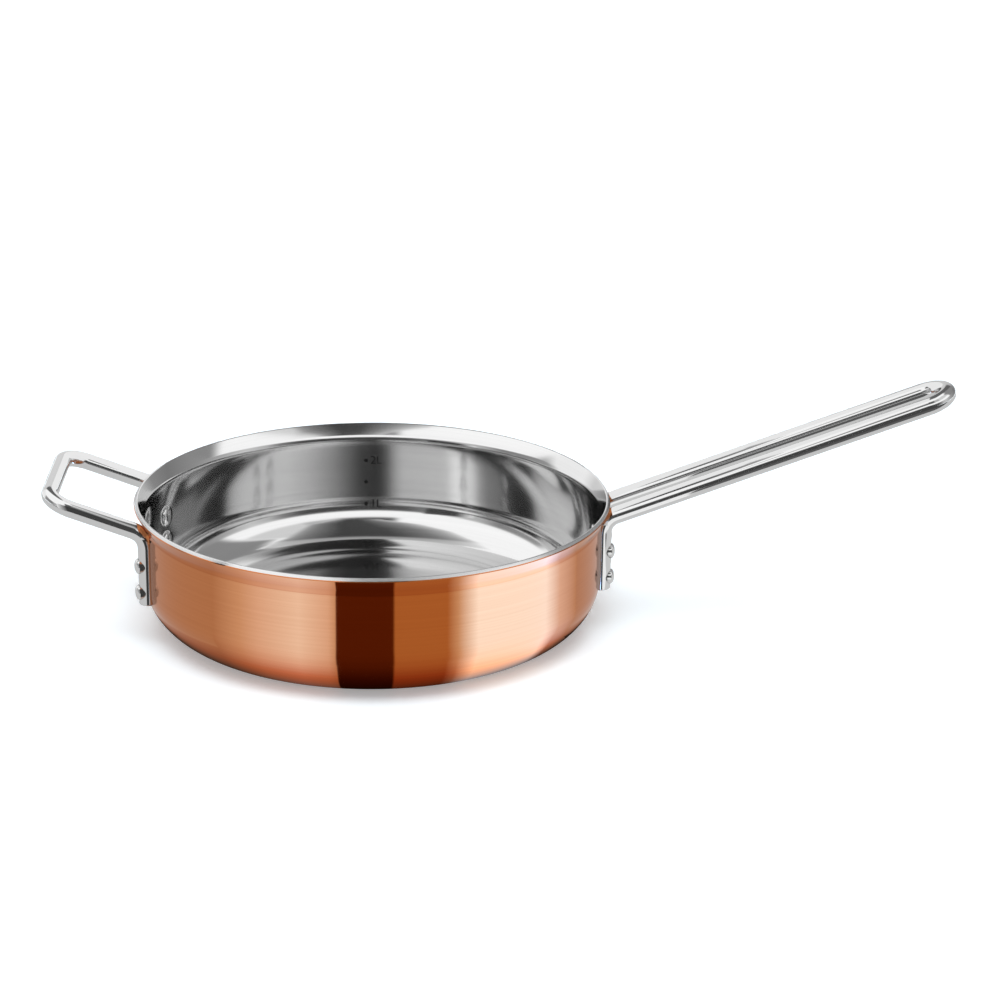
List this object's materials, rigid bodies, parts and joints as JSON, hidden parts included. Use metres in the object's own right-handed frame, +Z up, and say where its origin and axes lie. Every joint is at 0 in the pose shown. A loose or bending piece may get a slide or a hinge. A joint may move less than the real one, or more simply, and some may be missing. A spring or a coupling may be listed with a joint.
{
  "type": "saute pan",
  "caption": "Straight-sided sauté pan of copper, aluminium and steel sheet with a flared pouring rim, a long looped rod handle and a short helper loop riveted to the wall.",
  "frame": {"origin": "centre of the flat underside of the base", "axes": "+X along the long handle, -X along the helper handle, +Z up out of the pan"},
  "size_m": [0.47, 0.248, 0.1311],
  "materials": {
    "copper": "copper, fine horizontal brushing under a polish",
    "core": "plain, seen only as a line in the rim's edge",
    "liner": "polished steel with faint turning lines",
    "rod": "mirror polished rod",
    "rivet": "polished dome"
  },
  "bodies": {
    "root": {"copper_outer_shell": "copper", "aluminium_core": "core", "steel_inner_liner": "liner", "long_handle": "rod", "helper_handle": "rod", "long_handle_rivet_front_lower": "rivet", "long_handle_rivet_front_upper": "rivet", "long_handle_rivet_rear_lower": "rivet", "long_handle_rivet_rear_upper": "rivet", "helper_handle_rivet_front_lower": "rivet", "helper_handle_rivet_front_upper": "rivet", "helper_handle_rivet_rear_lower": "rivet", "helper_handle_rivet_rear_upper": "rivet"}
  },
  "joints": []
}
